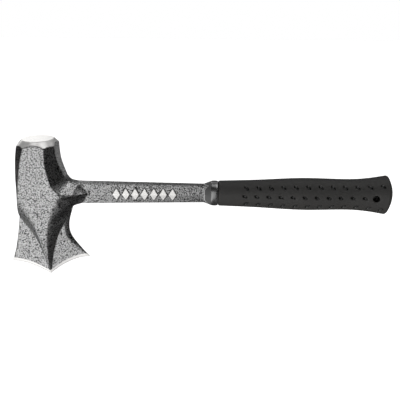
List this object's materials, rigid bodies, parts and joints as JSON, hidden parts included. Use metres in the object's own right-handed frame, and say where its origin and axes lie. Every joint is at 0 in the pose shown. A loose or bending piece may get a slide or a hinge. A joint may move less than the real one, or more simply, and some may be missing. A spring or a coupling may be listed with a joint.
{
  "type": "splitting maul",
  "caption": "Short one-piece forged splitting maul: eight-sided poll, wedge cheeks, pointed winged blade, flat shank, dimpled moulded grip with a hanging hole.",
  "frame": {"origin": "under the middle of the overall length and the cheeks' mid-plane, level with the blade's lowest point", "axes": "+X along the handle from the head to the butt, +Z from the cutting edge up to the poll, Y across the cheeks"},
  "size_m": [0.3556, 0.034, 0.134],
  "materials": {
    "hammered_paint_steel": "grey hammered paint, bare polished poll face and ground bevel",
    "gloss_collar": "polished black moulding",
    "hard_core": "plain black moulding",
    "soft_grip": "matte black with moulded dimples"
  },
  "bodies": {
    "root": {"forged_body": "hammered_paint_steel", "front_collar": "gloss_collar", "grip_core": "hard_core", "cushion_grip": "soft_grip"}
  },
  "joints": []
}
